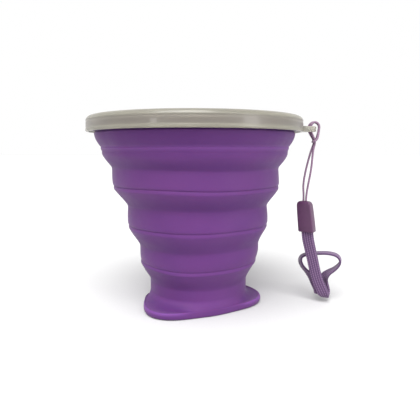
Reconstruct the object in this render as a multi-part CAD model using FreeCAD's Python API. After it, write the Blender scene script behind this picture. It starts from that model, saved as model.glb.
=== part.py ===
"""Folding silicone travel cup: stepped body on a three-lobed foot, press-fit lid and wrist lanyard.

Millimetres. Origin at the middle of the underside, +Z up, +X towards the lid's lug.
The body is one moulding. Its stiff bands slide into each other while the thin webs between
them roll over, so each band and each web is a solid of its own here.
"""

import FreeCAD, Part
import math
import os

from FreeCAD import Vector

# ---- driving dimensions ----------------------------------------------------------------
BAND_WALL = 2.0         # stiff bands
WEB_WALL = 1.0          # webs that roll over
JOINT_GAP = 0.05        # between solids that move against each other
CREASE_STEP = 0.25      # a band's lower edge stands this far proud of the web below it

# Outer radius at the top and bottom of each band, and the heights of both.
RIM_TOP_R, RIM_FOOT_R = 41.7, 39.0
RIM_TOP_Z, RIM_CORNER_Z, RIM_FOOT_Z = 73.4, 66.9, 64.8
SECOND_R, SECOND_TOP_Z, SECOND_FOOT_Z = (35.1, 35.35), 58.6, 51.8
THIRD_R, THIRD_TOP_Z, THIRD_FOOT_Z = (29.9, 30.3), 43.2, 35.4
FOURTH_R, FOURTH_TOP_Z, FOURTH_FOOT_Z = (25.95, 25.55), 26.3, 19.5
NECK_R, NECK_TOP_Z = 21.3, 10.3

# Foot: three finger lobes round a straight neck.
FLOOR_THICK = 3.0
LOBE_MEAN_R, LOBE_THIRD_R, LOBE_SIXTH_R = 24.75, 3.35, 0.6
LOBE_PROFILE = (        # height, share of the lobe's reach, how far the edge is rounded off
    (0.0, 0.84, 0.45), (0.2, 0.91, 0.22), (0.5, 0.96, 0.08), (0.9, 0.99, 0.0),
    (1.6, 1.0, 0.0), (2.3, 0.99, 0.0), (2.7, 0.95, 0.0), (2.95, 0.87, 0.0), (3.1, 0.75, 0.0),
    (3.25, 0.58, 0.0), (3.5, 0.4, 0.0), (3.9, 0.24, 0.0), (4.5, 0.11, 0.0), (5.3, 0.03, 0.0),
    (6.4, 0.0, 0.0), (NECK_TOP_Z, 0.0, 0.0))
LOBE_POINTS = 60

# Lip and rolled stainless ring.
LIP_R, LIP_INNER_R, LIP_Z = 42.25, 40.3, 76.3
RING_WALL = 0.5
RING_OUTER_R, RING_INNER_R = 42.8, 39.75
RING_SKIRT_Z, RING_HEM_Z, RING_TOP_Z = 73.8, 75.0, 77.2

# Lid.
LID_R, LID_TOP_Z, LID_SKIRT_Z = 44.9, 79.4, 73.2
LID_WALL = 1.2
LID_RECESS_R, LID_RECESS_DEEP = 39.4, 0.7
LID_PLUG_R, LID_PLUG_WALL, LID_PLUG_Z = 39.3, 1.0, 74.2
LID_BEAD_R, LID_BEAD_Z = 43.0, 74.3

# Lug on the lid, with the hole that the cord passes through.
LUG_HOLE_X, LUG_HOLE_R = 47.7, 1.6
LUG_END_R, LUG_ROOT_HALF = 2.7, 5.2
LUG_FOOT_Z, LUG_TOP_Z, LUG_EDGE = 73.4, 75.6, 0.35

# Lanyard. The cord swings about the lug's outer bar, which its loop goes round.
CORD_D = 0.9
CORD_ROUTE = (          # up the left leg, twice over the lug, down the right leg
    (46.4, 0.30, 44.4), (46.4, 0.30, 46.9), (46.0, 0.42, 51.3), (46.85, 0.52, 57.3),
    (48.0, 0.52, 62.5), (49.1, 0.50, 66.2), (49.7, 0.50, 69.4),
    (47.4, 0.50, 73.5), (47.4, 0.50, 76.3), (49.5, 0.50, 77.7), (51.75, 0.50, 76.3),
    (51.5, 0.60, 73.4), (50.9, 1.60, 69.8), (48.6, 1.60, 69.2),
    (48.6, -1.60, 69.2), (50.9, -1.60, 69.8), (51.5, -0.60, 73.4),
    (51.75, -0.50, 76.3), (49.8, -0.50, 77.7), (48.2, -0.50, 76.3), (48.2, -0.50, 73.5),
    (49.9, -0.50, 69.4), (49.6, -0.50, 66.1), (49.3, -0.52, 62.3), (48.95, -0.52, 57.3),
    (48.0, -0.45, 51.5), (47.4, -0.30, 46.9), (47.4, -0.30, 44.4))

CRIMP_TURN = -28.0      # degrees about Z, so that its right side shows
CRIMP_TOP = (46.75, 0.0, 44.4)
CRIMP_FOOT = (48.4, 0.0, 31.1)
CRIMP_CORNER = 0.28     # corner radius as a share of the depth
CRIMP_SECTIONS = (      # share of the way down, width, depth
    (0.0, 4.6, 3.2), (0.04, 5.3, 3.7), (0.12, 6.0, 4.05), (0.35, 6.3, 4.3),
    (0.7, 6.5, 4.45), (1.0, 6.6, 4.6))

STRAP_WIDE, STRAP_THICK = 4.8, 1.0
STRAP_TURN = -16.0      # degrees about Z of the directions that its route is given in
STRAP_ROUTE = (         # across, back and up from the crimp's foot, and the twist in degrees
    (0.0, -0.85, 31.1, 0), (0.3, -0.85, 28.4, 0), (1.2, -0.85, 24.9, 0),
    (2.5, -0.85, 20.2, 0), (3.8, -0.85, 15.0, 0), (5.1, -0.9, 10.4, 0),
    (6.4, -0.85, 6.4, 0), (7.4, -0.6, 3.2, 0), (8.1, 1.6, 2.0, 0), (8.4, 4.1, 3.3, 0),
    (8.4, 4.3, 6.6, -8), (8.7, 4.3, 9.8, -35), (10.2, 4.2, 12.7, -66),
    (12.8, 4.1, 15.0, -84), (14.4, 4.1, 17.9, -90), (13.1, 4.1, 20.6, -90),
    (9.3, 4.1, 21.4, -90), (4.9, 4.1, 21.0, -90), (0.9, 4.1, 20.3, -88),
    (-1.7, 4.0, 19.2, -72), (-2.6, 3.9, 16.9, -55), (-1.5, 3.7, 14.3, -45),
    (0.7, 3.4, 12.4, -36), (2.7, 3.0, 10.4, -22), (4.2, 2.75, 8.0, -10),
    (5.6, 2.65, 5.3, 0), (6.2, 2.65, 3.4, 0), (6.3, 0.85, 3.4, 0), (5.9, 0.85, 5.3, 0),
    (5.1, 0.85, 8.8, 0), (3.9, 0.85, 13.6, 0), (2.6, 0.85, 19.2, 0),
    (1.3, 0.85, 24.4, 0), (0.4, 0.85, 28.4, 0), (0.1, 0.85, 31.1, 0))

ARC_SHARE = 0.45        # of the shorter run that an arc may take up
ARC_STEPS = (0.0, 0.33, 0.67, 1.0)  # where the strap has a section along each arc
NO_MOVE = Vector(0, 0, 0)
UP = Vector(0, 0, 1)


# ---- shared geometry -------------------------------------------------------------------
def in_section(point):
    """A radius and a height as a point in the XZ plane."""
    return Vector(point[0], 0, point[1])


def turned(start, *steps):
    """Solid of revolution about Z. A step is the next corner, or (middle, end) of an arc."""
    edges = []
    here = in_section(start)
    for step in steps + (start,):
        is_arc = isinstance(step[0], tuple)
        there = in_section(step[1] if is_arc else step)
        if is_arc:
            edges.append(Part.Arc(here, in_section(step[0]), there).toShape())
        else:
            edges.append(Part.LineSegment(here, there).toShape())
        here = there
    return Part.Face(Part.Wire(edges)).revolve(NO_MOVE, UP, 360)


def between(a, b, share):
    """The point that is this share of the way from a to b."""
    return tuple(p + (q - p) * share for p, q in zip(a, b))


def beside_middle(a, b, out):
    """The middle of a to b, moved out to the left of the way from a to b."""
    along = Vector(b[0] - a[0], 0, b[1] - a[1]).normalize()
    middle = between(a, b, 0.5)
    return (middle[0] - along.z * out, middle[1] + along.x * out)


def band(radii, top_z, foot_z):
    """A stiff ring: square inner corners eased, lower outer edge rounded."""
    top_r, foot_r = radii
    ease = BAND_WALL / 2
    belly_z = foot_z + (top_z - foot_z) * 0.35
    return turned(
        (top_r, top_z), ((foot_r + 0.05, belly_z), (foot_r, foot_z + 0.4)),
        ((foot_r - 0.1, foot_z + 0.1), (foot_r - 0.35, foot_z)),
        (foot_r - BAND_WALL + ease, foot_z), (foot_r - BAND_WALL, foot_z + ease),
        (top_r - BAND_WALL, top_z - ease), (top_r - BAND_WALL + ease, top_z))


def web(top_r, top_z, foot_r, foot_z, bulge):
    """A thin wall that curves in from a band's lower edge to the top of the next band."""
    slanted = WEB_WALL * 1.2
    outer_top, outer_foot = (top_r, top_z - JOINT_GAP), (foot_r, foot_z)
    inner_top, inner_foot = (top_r - slanted, outer_top[1]), (foot_r - slanted, foot_z)
    return turned(
        outer_top, (beside_middle(outer_top, outer_foot, bulge), outer_foot),
        inner_foot, (beside_middle(inner_top, inner_foot, bulge), inner_top))


# ---- silicone body ---------------------------------------------------------------------
def rim_band():
    """Bowl-shaped top of the body, its short straight foot, and the lip inside the ring."""
    corner = (RIM_FOOT_R + 0.15, RIM_CORNER_Z)
    inner_foot_r = RIM_FOOT_R - BAND_WALL
    return turned(
        (RIM_FOOT_R - 0.1, RIM_FOOT_Z), (RIM_FOOT_R, RIM_FOOT_Z + 0.6), corner,
        ((RIM_TOP_R - 0.75, RIM_CORNER_Z + 3.1), (RIM_TOP_R, RIM_TOP_Z)),
        (LIP_R, RIM_TOP_Z + 0.3), (LIP_R, LIP_Z - 0.5),
        ((LIP_R - 0.15, LIP_Z - 0.15), (LIP_R - 0.5, LIP_Z)), (LIP_INNER_R + 0.4, LIP_Z),
        (LIP_INNER_R, LIP_Z - 0.4), (LIP_INNER_R, RING_HEM_Z - JOINT_GAP),
        (RING_INNER_R, RING_HEM_Z - JOINT_GAP - 0.1), (RING_INNER_R, RIM_TOP_Z),
        ((RIM_TOP_R - BAND_WALL - 0.75, RIM_CORNER_Z + 3.1), (inner_foot_r, RIM_CORNER_Z)),
        (inner_foot_r, RIM_FOOT_Z))


def lobe_radius(angle):
    """Reach of the foot's outline at an angle from +X."""
    return (LOBE_MEAN_R + LOBE_THIRD_R * math.cos(3 * angle)
            + LOBE_SIXTH_R * math.cos(6 * angle))


def foot_outline(height, share, rounding):
    """Closed smooth outline of the foot at one height."""
    points = []
    for i in range(LOBE_POINTS):
        angle = 2 * math.pi * i / LOBE_POINTS
        reach = max(lobe_radius(angle) - NECK_R, 0.0)
        radius = NECK_R + reach * share - rounding
        points.append(Vector(radius * math.cos(angle), radius * math.sin(angle), height))
    curve = Part.BSplineCurve()
    curve.interpolate(Points=points, PeriodicFlag=True)
    return Part.Wire([curve.toShape()])


def base_foot():
    """Bottom cup of the body: lobed foot, straight neck and the drinking cup's floor."""
    outside = Part.makeLoft([foot_outline(*row) for row in LOBE_PROFILE], True, True)
    inner_r = NECK_R - BAND_WALL
    corner = 1.6
    hollow = turned(
        (0, FLOOR_THICK), (inner_r - corner, FLOOR_THICK),
        ((inner_r - 0.47, FLOOR_THICK + 0.47), (inner_r, FLOOR_THICK + corner)),
        (inner_r, NECK_TOP_Z - BAND_WALL / 2), (inner_r + BAND_WALL / 2, NECK_TOP_Z),
        (inner_r + BAND_WALL / 2, NECK_TOP_Z + 1), (0, NECK_TOP_Z + 1))
    return outside.cut(hollow)


# ---- rim ring and lid ------------------------------------------------------------------
def rim_ring():
    """Rolled sheet ring that hooks over the silicone lip."""
    roll = (RING_OUTER_R - RING_INNER_R) / 2
    middle_r = RING_INNER_R + roll
    shoulder_z = RING_TOP_Z - 0.75
    return turned(
        (RING_OUTER_R, RING_SKIRT_Z), (RING_OUTER_R, shoulder_z),
        ((middle_r, RING_TOP_Z), (RING_INNER_R, shoulder_z)), (RING_INNER_R, RING_HEM_Z),
        (RING_INNER_R + RING_WALL, RING_HEM_Z), (RING_INNER_R + RING_WALL, shoulder_z),
        ((middle_r, RING_TOP_Z - RING_WALL), (RING_OUTER_R - RING_WALL, shoulder_z)),
        (RING_OUTER_R - RING_WALL, RING_SKIRT_Z))


def lug():
    """Flat ear on the lid's skirt, rounded at its end."""
    thick = LUG_TOP_Z - LUG_FOOT_Z
    end_middle = Vector(LUG_HOLE_X, 0, LUG_FOOT_Z)
    root_x = LID_R - LID_WALL + 0.3
    lean = math.atan2(LUG_ROOT_HALF - LUG_END_R, LUG_HOLE_X - root_x)
    touch_x = LUG_HOLE_X + LUG_END_R * math.sin(lean)
    touch_y = LUG_END_R * math.cos(lean)
    side = [Vector(root_x, -LUG_ROOT_HALF, LUG_FOOT_Z), Vector(touch_x, -touch_y, LUG_FOOT_Z)]
    far = [Vector(touch_x, touch_y, LUG_FOOT_Z), Vector(root_x, LUG_ROOT_HALF, LUG_FOOT_Z)]
    tip = end_middle + Vector(LUG_END_R, 0, 0)
    edges = [
        Part.LineSegment(side[0], side[1]).toShape(),
        Part.Arc(side[1], tip, far[0]).toShape(),
        Part.LineSegment(far[0], far[1]).toShape(),
        Part.LineSegment(far[1], side[0]).toShape()]
    plate = Part.Face(Part.Wire(edges)).extrude(UP * thick)
    hole = Part.makeCylinder(LUG_HOLE_R, thick + 2, end_middle - UP)
    plate = plate.cut(hole)
    rounded = [e for e in plate.Edges
               if e.BoundBox.ZLength < 0.01 and e.BoundBox.XMax > root_x + 0.5]
    return plate.makeFillet(LUG_EDGE, rounded)


def lid():
    """Cap with a raised edge, recessed middle, plug wall, snap bead and lug."""
    skin_z = LID_TOP_Z - LID_RECESS_DEEP - LID_WALL
    skirt_r = LID_R - LID_WALL
    plug_in_r = LID_PLUG_R - LID_PLUG_WALL
    cap = turned(
        (0, skin_z), (plug_in_r, skin_z), (plug_in_r, LID_PLUG_Z + 0.5),
        ((plug_in_r + LID_PLUG_WALL / 2, LID_PLUG_Z), (LID_PLUG_R, LID_PLUG_Z + 0.5)),
        (LID_PLUG_R, skin_z), (LID_R - 2.6, skin_z),
        ((skirt_r - 0.3, skin_z - 0.35), (skirt_r, skin_z - 1.1)),
        (skirt_r, LID_BEAD_Z + 0.7), ((LID_BEAD_R, LID_BEAD_Z), (skirt_r, LID_SKIRT_Z + 0.5)),
        (skirt_r, LID_SKIRT_Z), (LID_R - 0.5, LID_SKIRT_Z),
        ((LID_R - 0.12, LID_SKIRT_Z + 0.14), (LID_R, LID_SKIRT_Z + 0.6)),
        (LID_R, LID_TOP_Z - 3.2), ((LID_R - 0.4, LID_TOP_Z - 1.6), (LID_R - 1.3, LID_TOP_Z - 0.4)),
        ((LID_R - 1.75, LID_TOP_Z - 0.1), (LID_R - 2.3, LID_TOP_Z)),
        (LID_RECESS_R + 1.0, LID_TOP_Z),
        ((LID_RECESS_R + 0.3, LID_TOP_Z - 0.3), (LID_RECESS_R, LID_TOP_Z - LID_RECESS_DEEP)),
        (0, LID_TOP_Z - LID_RECESS_DEEP))
    return cap.fuse(lug()).removeSplitter()


# ---- lanyard ---------------------------------------------------------------------------
def rounded_route(points, name):
    """Straight runs joined by tangent arcs, as edges. Prints the smallest arc radius."""
    corners = [Vector(*p) for p in points]
    edges = []
    here = corners[0]
    radii = []
    for before, corner, after in zip(corners, corners[1:], corners[2:]):
        into = (before - corner)
        out = (after - corner)
        reach = ARC_SHARE * min(into.Length, out.Length)
        turn = math.pi - into.getAngle(out)
        radii.append(reach / math.tan(turn / 2))
        into.normalize()
        out.normalize()
        start = corner + into * reach
        end = corner + out * reach
        middle_way = (into + out).normalize()
        to_centre = radii[-1] / math.cos(turn / 2)
        middle = corner + middle_way * (to_centre - radii[-1])
        edges.append(Part.LineSegment(here, start).toShape())
        edges.append(Part.Arc(start, middle, end).toShape())
        here = end
    edges.append(Part.LineSegment(here, corners[-1]).toShape())
    print(name, "smallest radius", round(min(radii), 2), "all", [round(r, 1) for r in radii])
    return edges


def lanyard_cord():
    """Round cord along its route."""
    path = Part.Wire(rounded_route(CORD_ROUTE, "cord"))
    start = Vector(*CORD_ROUTE[0])
    ring = Part.Wire([Part.makeCircle(CORD_D / 2, start, Vector(*CORD_ROUTE[1]) - start)])
    tube = path.makePipeShell([ring], True, True)
    expected = math.pi * (CORD_D / 2) ** 2 * path.Length
    print("cord length", round(path.Length, 1), "volume share", round(tube.Volume / expected, 3))
    return tube


def across_and_back(degrees):
    """Level unit vectors to the right and away, turned by this much about Z."""
    turn = math.radians(degrees)
    return Vector(math.cos(turn), math.sin(turn), 0), Vector(-math.sin(turn), math.cos(turn), 0)


def rounded_box_outline(centre, wide, deep):
    """Horizontal rounded rectangle turned with the crimp."""
    across, back = across_and_back(CRIMP_TURN)
    radius = CRIMP_CORNER * deep
    arcs = []
    for side, face in ((1, 1), (-1, 1), (-1, -1), (1, -1)):
        middle = centre + across * side * (wide / 2 - radius) + back * face * (deep / 2 - radius)
        to_side, to_face = across * side * radius, back * face * radius
        ends = [middle + to_side, middle + to_face]
        if side != face:
            ends.reverse()
        arcs.append((ends[0], middle + (to_side + to_face) * math.sqrt(0.5), ends[1]))
    edges = []
    for arc, following in zip(arcs, arcs[1:] + arcs[:1]):
        edges.append(Part.Arc(*arc).toShape())
        edges.append(Part.LineSegment(arc[2], following[0]).toShape())
    return Part.Wire(edges)


def lanyard_crimp():
    """Moulded block, narrower at its rounded top."""
    top, foot = Vector(*CRIMP_TOP), Vector(*CRIMP_FOOT)
    outlines = [rounded_box_outline(top + (foot - top) * share, wide, deep)
                for share, wide, deep in CRIMP_SECTIONS]
    return Part.makeLoft(outlines, True, False)


def strap_sections():
    """Corners of the strap's flat section at each step along its rounded route."""
    across, back = across_and_back(STRAP_TURN)
    foot = Vector(*CRIMP_FOOT)
    points = []
    for a, b, z, _ in STRAP_ROUTE:
        points.append(foot + across * a + back * b + UP * (z - CRIMP_FOOT[2]))
    edges = rounded_route(points, "strap")
    samples = []
    for arc, row in zip(edges[1::2], STRAP_ROUTE[1:]):
        low, high = arc.FirstParameter, arc.LastParameter
        for share in ARC_STEPS:
            at = low + (high - low) * share
            samples.append((arc.valueAt(at), arc.tangentAt(at), row[3]))
    first, last = edges[0], edges[-1]
    samples.insert(0, (first.valueAt(first.FirstParameter), -UP, 0.0))
    samples.append((last.valueAt(last.LastParameter), UP, 0.0))
    rows = []
    for i, (point, tangent, twist) in enumerate(samples):
        near = samples[max(i - 2, 0):i + 3]
        twist = math.radians(sum(s[2] for s in near) / len(near))
        facing = across * math.cos(twist) + back * math.sin(twist)
        wide = (facing - tangent * facing.dot(tangent)).normalize()
        flat = tangent.cross(wide).normalize()
        w, t = wide * STRAP_WIDE / 2, flat * STRAP_THICK / 2
        rows.append([point + w + t, point - w + t, point - w - t, point + w - t])
    length = sum(e.Length for e in edges)
    return rows, length


def wrist_strap():
    """Flat webbing: flat facets between neighbouring sections, closed at both ends."""
    rows, length = strap_sections()
    facets = []

    def facet(*corners):
        facets.append(Part.Face(Part.makePolygon(list(corners) + [corners[0]])))

    for row, following in zip(rows, rows[1:]):
        for k in range(4):
            n = (k + 1) % 4
            facet(row[k], row[n], following[n])
            facet(row[k], following[n], following[k])
    for end in (rows[0], rows[-1]):
        facet(end[0], end[1], end[2])
        facet(end[0], end[2], end[3])
    solid = Part.Solid(Part.Shell(facets))
    if solid.Volume < 0:
        solid.reverse()
    expected = STRAP_WIDE * STRAP_THICK * length
    print("strap length", round(length, 1), "volume share", round(solid.Volume / expected, 3))
    return solid


# ---- export ----------------------------------------------------------------------------
def nodes():
    """Every node's name with its solid."""
    return {
        "rim_band": rim_band(),
        "upper_web": web(RIM_FOOT_R - 0.1, RIM_FOOT_Z, SECOND_R[0], SECOND_TOP_Z, 0.55),
        "second_band": band(SECOND_R, SECOND_TOP_Z, SECOND_FOOT_Z),
        "second_web": web(SECOND_R[1] - CREASE_STEP, SECOND_FOOT_Z, THIRD_R[0], THIRD_TOP_Z, 0.6),
        "third_band": band(THIRD_R, THIRD_TOP_Z, THIRD_FOOT_Z),
        "third_web": web(THIRD_R[1] - CREASE_STEP, THIRD_FOOT_Z, FOURTH_R[0], FOURTH_TOP_Z, 0.5),
        "fourth_band": band(FOURTH_R, FOURTH_TOP_Z, FOURTH_FOOT_Z),
        "lower_web": web(FOURTH_R[1] - CREASE_STEP, FOURTH_FOOT_Z, NECK_R, NECK_TOP_Z, 0.1),
        "base_foot": base_foot(),
        "rim_ring": rim_ring(),
        "lid": lid(),
        "lanyard_cord": lanyard_cord(),
        "lanyard_crimp": lanyard_crimp(),
        "wrist_strap": wrist_strap(),
    }


def main():
    """Writes one STEP file for each node."""
    os.makedirs("parts", exist_ok=True)
    for name, shape in nodes().items():
        box = shape.optimalBoundingBox()
        print(name, "solids", len(shape.Solids), "valid", shape.isValid(),
              "volume", round(shape.Volume), "z", round(box.ZMin, 2), round(box.ZMax, 2))
        shape.exportStep("parts/" + name + ".step")


main()
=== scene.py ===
"""Looks of the folding silicone travel cup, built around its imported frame.

The frame is in metres, with +Z up the cup's axis and the lid's lug towards +X. Outlines below are in
millimetres from the axis and the floor, and MM turns them into metres.
"""
import math

import bmesh
import bpy
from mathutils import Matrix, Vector


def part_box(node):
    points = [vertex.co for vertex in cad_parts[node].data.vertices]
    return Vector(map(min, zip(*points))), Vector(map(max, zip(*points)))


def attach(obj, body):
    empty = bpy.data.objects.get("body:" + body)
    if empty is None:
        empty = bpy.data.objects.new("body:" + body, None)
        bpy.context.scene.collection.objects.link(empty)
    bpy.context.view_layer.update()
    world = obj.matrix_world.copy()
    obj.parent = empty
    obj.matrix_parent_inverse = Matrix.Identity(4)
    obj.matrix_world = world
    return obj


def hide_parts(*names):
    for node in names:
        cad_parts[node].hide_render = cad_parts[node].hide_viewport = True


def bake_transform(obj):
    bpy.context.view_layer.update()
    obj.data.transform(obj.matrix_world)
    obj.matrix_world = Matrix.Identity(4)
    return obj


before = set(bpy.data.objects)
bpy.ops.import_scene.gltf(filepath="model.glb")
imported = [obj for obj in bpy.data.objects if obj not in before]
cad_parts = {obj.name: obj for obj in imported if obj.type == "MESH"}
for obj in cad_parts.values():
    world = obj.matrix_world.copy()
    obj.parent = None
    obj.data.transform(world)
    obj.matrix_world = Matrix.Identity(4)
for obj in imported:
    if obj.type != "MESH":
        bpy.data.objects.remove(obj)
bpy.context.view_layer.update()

MM = 0.001
SEGMENTS = 192          # round the cup

# ---- camera ----------------------------------------------------------------------------
EYE_AZIMUTH, EYE_DISTANCE, EYE_HEIGHT = math.radians(7.0), 0.1728, 0.0667
LOOK_DOWN, LOOK_RIGHT = math.radians(8.84), math.radians(2.05)
LENS_MM = 34.07


def make_camera():
    """Close, at about the height of the lid, looking a little down."""
    camera = bpy.data.objects.new("camera", bpy.data.cameras.new("camera"))
    camera.data.lens = LENS_MM
    camera.data.sensor_width = 36.0
    camera.data.clip_start = 0.005
    camera.location = (EYE_DISTANCE * math.sin(EYE_AZIMUTH),
                       -EYE_DISTANCE * math.cos(EYE_AZIMUTH), EYE_HEIGHT)
    camera.rotation_euler = (math.pi / 2 - LOOK_DOWN, 0.0, EYE_AZIMUTH - LOOK_RIGHT)
    bpy.context.scene.collection.objects.link(camera)
    bpy.context.scene.camera = camera


make_camera()

# ---- routes of the cord and the strap --------------------------------------------------
CORD_D = 0.9
CORD_ROUTE = (          # up the left leg, twice over the lug, down the right leg
    (46.4, 0.30, 44.4), (46.4, 0.30, 46.9), (46.0, 0.42, 51.3), (46.85, 0.52, 57.3),
    (48.0, 0.52, 62.5), (49.0, 0.50, 66.3), (50.2, 0.50, 69.5),
    (47.4, 0.50, 73.5), (47.4, 0.50, 76.3), (49.5, 0.50, 77.7), (51.75, 0.50, 76.3),
    (51.5, 0.60, 73.4), (50.9, 1.45, 70.2), (49.2, 1.45, 69.3),
    (49.2, -1.45, 69.3), (50.9, -1.45, 70.2), (51.5, -0.60, 73.4),
    (51.75, -0.50, 76.3), (49.8, -0.50, 77.7), (48.2, -0.50, 76.3), (48.2, -0.50, 73.5),
    (50.4, -0.50, 69.5), (49.5, -0.50, 66.2), (49.3, -0.52, 62.3), (48.95, -0.52, 57.3),
    (48.0, -0.45, 51.5), (47.4, -0.30, 46.9), (47.4, -0.30, 44.4))

CRIMP_TOP, CRIMP_FOOT = Vector((46.75, 0.0, 44.4)), Vector((48.4, 0.0, 31.1))
CRIMP_TURN, STRAP_TURN = -28.0, -16.0   # degrees about Z of the crimp, and of the strap's directions


def across_and_back(degrees):
    """Level unit vectors to the right and away, turned by this much about Z."""
    turn = math.radians(degrees)
    return (Vector((math.cos(turn), math.sin(turn), 0.0)),
            Vector((-math.sin(turn), math.cos(turn), 0.0)))


STRAP_WIDE, STRAP_THICK = 4.8, 1.0
STRAP_ROUTE = (         # across, back and up from the crimp's foot, and the twist in degrees
    (0.0, -0.85, 31.1, 0), (0.3, -0.85, 28.4, 0), (1.2, -0.85, 24.9, 0),
    (2.5, -0.85, 20.2, 0), (3.8, -0.85, 15.0, 0), (5.1, -0.9, 10.4, 0),
    (6.9, -0.85, 6.4, 0), (8.5, -0.6, 3.3, 0), (8.9, 1.6, 2.0, 0), (8.5, 4.1, 3.3, 0),
    (7.4, 4.4, 6.4, -8), (7.1, 4.4, 9.4, -28), (8.9, 4.3, 12.2, -60),
    (12.4, 4.1, 14.8, -80), (14.5, 4.1, 17.9, -90), (13.1, 4.1, 20.6, -90),
    (9.3, 4.1, 21.4, -90), (4.9, 4.1, 21.0, -90), (0.9, 4.1, 20.3, -90),
    (-2.4, 4.0, 19.2, -80), (-3.3, 3.9, 16.9, -66), (-2.1, 3.7, 14.2, -56),
    (0.4, 3.4, 11.9, -46), (2.6, 3.0, 9.8, -30), (4.2, 2.75, 7.6, -12),
    (5.6, 2.65, 5.3, 0), (6.2, 2.65, 3.4, 0), (6.3, 0.85, 3.4, 0), (5.9, 0.85, 5.3, 0),
    (5.1, 0.85, 8.8, 0), (3.9, 0.85, 13.6, 0), (2.6, 0.85, 19.2, 0),
    (1.3, 0.85, 24.4, 0), (0.4, 0.85, 28.4, 0), (0.1, 0.85, 31.1, 0))


def smooth_line(points):
    """Points along the smooth curve that these control points, in millimetres, steer."""
    curve = bpy.data.curves.new("route", "CURVE")
    curve.dimensions = "3D"
    spline = curve.splines.new("NURBS")
    spline.points.add(len(points) - 1)
    for knot, point in zip(spline.points, points):
        knot.co = (point[0] * MM, point[1] * MM, point[2] * MM, 1.0)
    spline.order_u = 3
    spline.use_endpoint_u = True
    spline.resolution_u = 16
    holder = bpy.data.objects.new("route", curve)
    mesh = bpy.data.meshes.new_from_object(holder)
    line = [v.co.copy() for v in mesh.vertices]
    bpy.data.meshes.remove(mesh)
    bpy.data.objects.remove(holder)
    bpy.data.curves.remove(curve)
    return line


def lengths_along(line):
    """Distance along the line at each of its points."""
    along = [0.0]
    for here, there in zip(line, line[1:]):
        along.append(along[-1] + (there - here).length)
    return along


def evenly(line, along, step):
    """Points this far apart along the line, by interpolation. The line may be any list of vectors."""
    count = max(2, round(along[-1] / step))
    found = []
    k = 0
    for i in range(count + 1):
        at = along[-1] * i / count
        while k < len(along) - 2 and along[k + 1] < at:
            k += 1
        share = (at - along[k]) / max(along[k + 1] - along[k], 1e-12)
        found.append(line[k].lerp(line[k + 1], min(share, 1.0)))
    return found


def strap_point(across, back, up):
    """A point of the strap's route, given from the crimp's foot, in the frame's millimetres."""
    to_right, away = across_and_back(STRAP_TURN)
    return CRIMP_FOOT + to_right * across + away * back + Vector((0, 0, up - CRIMP_FOOT.z))


def strap_edge(row):
    """The control point of the strap's edge beside this row's control point."""
    across, back, up, twist = row
    to_right, away = across_and_back(STRAP_TURN)
    turn = math.radians(twist)
    wide = to_right * math.cos(turn) + away * math.sin(turn)
    return strap_point(across, back, up) + wide * STRAP_WIDE / 2


# ---- mesh helpers ----------------------------------------------------------------------
def make_piece(name, points, faces, corner_uvs=None, sharp=38.0):
    """A smooth-shaded mesh piece with its normals outwards."""
    mesh = bpy.data.meshes.new(name)
    mesh.from_pydata([tuple(p) for p in points], [], faces)
    if corner_uvs:
        layer = mesh.uv_layers.new(name="surface")
        for corner, uv in zip(layer.data, corner_uvs):
            corner.uv = uv
    shell = bmesh.new()
    shell.from_mesh(mesh)
    bmesh.ops.recalc_face_normals(shell, faces=shell.faces)
    shell.to_mesh(mesh)
    shell.free()
    mesh.shade_smooth()
    mesh.set_sharp_from_angle(angle=math.radians(sharp))
    piece = bpy.data.objects.new(name, mesh)
    bpy.context.scene.collection.objects.link(piece)
    return piece


def rounded(corners, closed=True, steps=5):
    """Outline through corners of (radius, height, easing length), eased by short curves."""
    points = []
    last = len(corners) - 1
    for i, (r, z, ease) in enumerate(corners):
        at_end = not closed and i in (0, last)
        if ease == 0 or at_end:
            points.append((r, z))
            continue
        here = Vector((r, z))
        ends = []
        for neighbour in (corners[i - 1], corners[(i + 1) % len(corners)]):
            way = Vector(neighbour[:2]) - here
            ends.append(here + way * min(ease / way.length, 0.48))
        for k in range(steps + 1):
            t = k / steps
            point = ends[0] * (1 - t) ** 2 + here * 2 * t * (1 - t) + ends[1] * t ** 2
            points.append((point.x, point.y))
    return points


def lathe(name, outline, closed=True, lobes=None):
    """Turns an outline of (radius, height) about the axis. lobes gives each point's lobe share."""
    points, faces, uvs = [], [], []
    rings, along = [], [0.0]
    for (r0, z0), (r1, z1) in zip(outline, outline[1:] + outline[:1]):
        along.append(along[-1] + math.hypot(r1 - r0, z1 - z0) * MM)
    for k, (r, z) in enumerate(outline):
        if r == 0:
            rings.append([len(points)] * (SEGMENTS + 1))
            points.append((0.0, 0.0, z * MM))
            continue
        first = len(points)
        for i in range(SEGMENTS):
            angle = 2 * math.pi * i / SEGMENTS
            radius = r + (lobe_reach(angle) * lobes[k] if lobes else 0.0)
            points.append((radius * math.cos(angle) * MM, radius * math.sin(angle) * MM, z * MM))
        rings.append(list(range(first, len(points))) + [first])
    round_length = 2 * math.pi * max(r for r, z in outline) * MM
    spans = len(rings) if closed else len(rings) - 1
    for k in range(spans):
        lower, upper = rings[k], rings[(k + 1) % len(rings)]
        for i in range(SEGMENTS):
            u0, u1 = round_length * i / SEGMENTS, round_length * (i + 1) / SEGMENTS
            face = [(lower[i], (u0, along[k])), (lower[i + 1], (u1, along[k])),
                    (upper[i + 1], (u1, along[k + 1])), (upper[i], (u0, along[k + 1]))]
            if lower[i] == lower[i + 1]:
                del face[1]
            elif upper[i] == upper[i + 1]:
                del face[2]
            faces.append([vertex for vertex, uv in face])
            uvs.extend(uv for vertex, uv in face)
    return make_piece(name, points, faces, uvs)


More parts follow.
